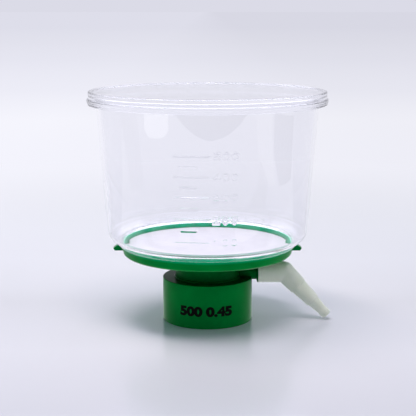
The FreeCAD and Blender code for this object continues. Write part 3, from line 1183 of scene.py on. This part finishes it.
@dataclass
class Studio:
    """Pale table that fades into an even surround, soft lamps, and cards that the plastic mirrors.

    Tones go by a measure: the table's own tones by Y in metres, far_tones by distance, and the world's by
    how far a ray points back, from -1 to 1. The table's tones by Y hold painted light and shadow: darker
    in front of the unit and in a dip just behind its axis as painted shade, brighter further back as
    painted light. The table's near and far tones are also painted a little brighter on the left, as
    painted light: the tilts say by how much of their tone, at the tilt reach from the middle. The
    surround brightens to overhead times its tone where a ray points up, between the two slopes of
    overhead_from.
    """

    table_radius: float = 60.0
    table_sides: int = 96
    table_roughness: float = 0.22
    table_mirror: float = 0.4
    surround_colour: str = "#DBDBE7"
    overhead: float = 2.6
    overhead_from: Pair = (0.15, 0.6)
    mirrored_tones: Tones = ((-0.9, "#D6D6E0"), (0.6, "#E4E4EE"))
    fill_tones: Tones = ((-0.9, "#576168"), (0.1, "#97A9B1"), (0.9, "#B3C7D0"))
    # painted light and shadow: the table's colour by Y is darker in front of the unit and just behind its
    # axis, brighter further back
    table_tones: Tones = (
        (-0.30, "#D9D9E3"), (-0.14, "#DADAE5"), (-0.06, "#E4E4EE"), (-0.02, "#E2E2EC"), (0.03, "#DDDDE6"),
        (0.06, "#E3E3EC"), (0.14, "#EDEDF6"), (0.25, "#F2F2FA"), (0.45, "#F6F6FC"), (1.4, "#F6F6FC"),
    )
    far_tones: Tones = (
        (0.4, "#F1F1FA"), (0.7, "#F1F1FA"), (1.1, "#F2F2FA"), (1.7, "#EAEAF4"), (3.1, "#E3E3EE"),
        (5.0, "#DFDFEA"), (9.0, "#DBDBE7"),
    )
    fade: Pair = (0.17, 0.62)
    # painted light: how much brighter the table's near and far tones are made on the left, and how far out
    # that reaches
    tilts: Pair = (0.05, 0.03)
    tilt_reach: float = 0.25
    lamps: tuple[Lamp, ...] = (
        Lamp("softbox_overhead", (-0.12, -0.12, 1.2), (0.9, 0.22), 10.9),
        Lamp("softbox_right", (1.1, -0.1, 0.6), (0.5, 0.5), 1.2),
    )
    cards: tuple[Card, ...] = (
        Card("softbox_right_front", "#FFFCFB", 1.4, standing(46, 77, 0.13, 0.25)),
        Card("softbox_left_front", "#FFFCFB", 1.4, standing(-40, -75, 0.13, 0.25)),
        Card("softbox_above_left", "#FFFCFB", 4.0, lying(
            1.0, (-0.65, -0.25), (-0.38, -0.25), (-0.38, 0.25), (-0.65, 0.25),
        )),
        Card("softbox_above_right", "#FFFCFB", 4.0, lying(
            1.0, (0.6, -0.25), (0.93, -0.25), (0.93, 0.25), (0.6, 0.25),
        )),
        Card("table_lit", "#F6F6FC", 1.25, lying(
            0.0006, (-0.7, 0.05), (0.7, 0.05), (0.7, -0.42), (-0.25, -0.45), (-0.7, -0.46),
        )),
        Card("unit_shade_outer", "#F6F6FC", 0.9, front_arc(0.0008, 0.262, -0.07)),
        Card("unit_shade_middle", "#F6F6FC", 0.5, front_arc(0.001, 0.25, -0.08)),
        Card("unit_shade_inner", "#F6F6FC", 0.1, front_arc(0.0012, 0.238, -0.09)),
        Card("window_left_low", "#FFFFFF", 0.55, lying(
            0.0018, (-0.165, -0.105), (-0.2, -0.13), (-0.062, -0.215), (-0.055, -0.18),
        )),
        Card("window_right_low", "#FFFFFF", 0.8, lying(
            0.0018, (0.31, -0.24), (0.25, -0.2), (0.15, -0.2), (0.1, -0.195), (0.085, -0.17),
            (0.165, -0.13), (0.2, -0.13), (0.25, -0.14), (0.29, -0.15),
        )),
        Card("table_dim_left", "#F6F6FC", 0.9, lying(
            0.0012, (-0.66, 0.07), (-0.46, 0.0), (-0.32, -0.03), (-0.29, -0.13), (-0.41, -0.15),
            (-0.57, -0.17),
        )),
        Card("table_dim_right", "#F6F6FC", 0.4, lying(
            0.0012, (0.63, 0.05), (0.47, 0.04), (0.36, 0.03), (0.32, -0.07), (0.4, -0.16), (0.55, -0.22),
        )),
        Card("window_left", "#FFFFFF", 2.4, lying(
            0.0018, (-0.52, -0.26), (-0.34, -0.43), (-0.29, -0.37), (-0.31, -0.33), (-0.4, -0.24),
            (-0.45, -0.22),
        )),
        Card("window_right", "#FFFFFF", 1.5, lying(
            0.0018, (0.41, -0.38), (0.53, -0.25), (0.4, -0.17), (0.31, -0.1), (0.26, -0.19), (0.32, -0.27),
        )),
        Card("room_before_table", "#141418", 1.0, lying(
            0.001, (-0.45, -0.47), (-0.25, -0.455), (0.0, -0.43), (0.35, -0.42), (0.5, -0.42),
            (0.5, -0.8), (-0.45, -0.8),
        )),
    )

    def table(self) -> None:
        """Round table top."""
        corners = [
            (math.cos(turn) * self.table_radius, math.sin(turn) * self.table_radius, 0.0)
            for turn in even_turn(self.table_sides)
        ]
        item = flat_object("table", corners)
        dress(item, self.table_finish())

    def table_finish(self) -> Material:
        """Satin white acrylic, which keeps the unit's shadow close by and glows far away, with painted
        light and shadow in its tones.

        Returns:
            The material.
        """
        material, tree = blank_material("table_white_acrylic_satin")
        place = add_node(tree, "NewGeometry")
        apart = add_node(tree, "SeparateXYZ", links={"Vector": place.outputs["Position"]})
        distance = add_node(tree, "VectorMath", operation="LENGTH", links={0: place.outputs["Position"]})
        # painted light and shadow: the table's colour by Y
        near = ramp_along(tree, apart.outputs["Y"], self.table_tones)
        far = ramp_along(tree, distance.outputs["Value"], self.far_tones)
        # painted light: near and far tones are scaled brighter on the left and darker on the right
        painted_light_tilted = []
        for tilt, colour in zip(self.tilts, (near, far)):
            share = add_node(
                tree, "MapRange",
                values={
                    "From Min": -self.tilt_reach, "From Max": self.tilt_reach,
                    "To Min": 1 + tilt, "To Max": 1 - tilt,
                },
                links={"Value": apart.outputs["X"]},
            )
            painted_light_tilted.append(add_node(
                tree, "VectorMath", operation="SCALE", links={0: colour, "Scale": share.outputs["Result"]},
            ))
        sheet = add_node(
            tree, "BsdfPrincipled",
            values={"Roughness": self.table_roughness, "Specular IOR Level": self.table_mirror},
            links={"Base Color": painted_light_tilted[0].outputs["Vector"]},
        )
        glow = add_node(tree, "Emission", links={"Color": painted_light_tilted[1].outputs["Vector"]})
        away = add_node(
            tree, "MapRange", interpolation_type="SMOOTHSTEP",
            values={"From Min": self.fade[0], "From Max": self.fade[1]},
            links={"Value": distance.outputs["Value"]},
        )
        surface = add_node(
            tree, "MixShader",
            links={0: away.outputs["Result"], 1: sheet.outputs[0], 2: glow.outputs[0]},
        )
        finish_surface(tree, surface)
        return material

    def surround(self) -> None:
        """World light: pale to look at, softer as a fill, and dimmer towards the front in reflections."""
        world = bpy.data.worlds.new("surround")
        bpy.context.scene.world = world
        world.use_nodes = True
        tree = world.node_tree
        tree.nodes.clear()
        path = add_node(tree, "LightPath")
        direction = add_node(tree, "TexCoord")
        apart = add_node(tree, "SeparateXYZ", links={"Vector": direction.outputs["Generated"]})
        fill = add_node(
            tree, "Mix", data_type="RGBA",
            links={
                MIX_SHARE: path.outputs["Is Glossy Ray"],
                MIX_FIRST: ramp_along(tree, apart.outputs["Y"], self.fill_tones),
                MIX_SECOND: ramp_along(tree, apart.outputs["Y"], self.mirrored_tones),
            },
        )
        seen = add_node(
            tree, "Math", operation="MAXIMUM",
            links={0: path.outputs["Is Camera Ray"], 1: path.outputs["Is Transmission Ray"]},
        )
        overhead = add_node(
            tree, "MapRange", interpolation_type="SMOOTHSTEP",
            values={
                "From Min": self.overhead_from[0], "From Max": self.overhead_from[1],
                "To Min": 1.0, "To Max": self.overhead,
            },
            links={"Value": apart.outputs["Z"]},
        )
        surround = add_node(
            tree, "VectorMath", operation="SCALE",
            values={0: linear(self.surround_colour)[:3]}, links={"Scale": overhead.outputs["Result"]},
        )
        shown = add_node(
            tree, "Mix", data_type="RGBA",
            links={
                MIX_SHARE: seen.outputs[0],
                MIX_FIRST: fill.outputs[MIX_RESULT],
                MIX_SECOND: surround.outputs["Vector"],
            },
        )
        light = add_node(tree, "Background", links={"Color": shown.outputs[MIX_RESULT]})
        add_node(tree, "OutputWorld", links={"Surface": light.outputs[0]})

    def build(self) -> None:
        """Set up the whole studio."""
        self.table()
        self.surround()
        for item in (*self.cards, *self.lamps):
            item.build()


@dataclass
class ViewCamera:
    """Long lens in front of the unit, slightly above it."""

    place: Corner = (0.00027, -0.5766, 0.1683)
    pitch_degrees: float = 10.507
    lens_mm: float = 93.13
    nearest: float = 0.01
    farthest: float = 50.0

    def build(self) -> None:
        """Make the camera and use it."""
        data = bpy.data.cameras.new("view_camera")
        data.lens = self.lens_mm
        data.clip_start = self.nearest
        data.clip_end = self.farthest
        item = linked("view_camera", data)
        item.location = self.place
        item.rotation_euler = Euler((math.radians(90 - self.pitch_degrees), 0, 0))
        bpy.context.scene.camera = item


def main() -> None:
    """Build the unit piece by piece, then the studio and the camera."""
    logging.basicConfig(level=logging.INFO)
    clear = ClearPolystyrene().build()
    pieces = {
        "funnel": Funnel(clear),
        "lid": Lid(clear),
        "membrane": Membrane(CastMembrane().build()),
        "skirt numerals": SkirtNumerals(PadPrintInk().build()),
        "carried nodes": CarriedNodes({
            "base": GreenMoulding().build(),
            "hose_adapter": NaturalPolypropylene().build(),
            "bottle_gasket": SiliconeSeal().build(),
            "port_filter": PressedFibre().build(),
        }),
    }
    for name, piece in pieces.items():
        piece.build()
        log.info("built %s", name)
    Studio().build()
    ViewCamera().build()
    scene = bpy.context.scene
    scene.view_settings.view_transform = "Standard"
    for kind in ("max", "glossy", "transmission"):
        setattr(scene.cycles, f"{kind}_bounces", BOUNCES)
    scene.cycles.transparent_max_bounces = CLEAR_BOUNCES


if __name__ == "__main__":
    main()
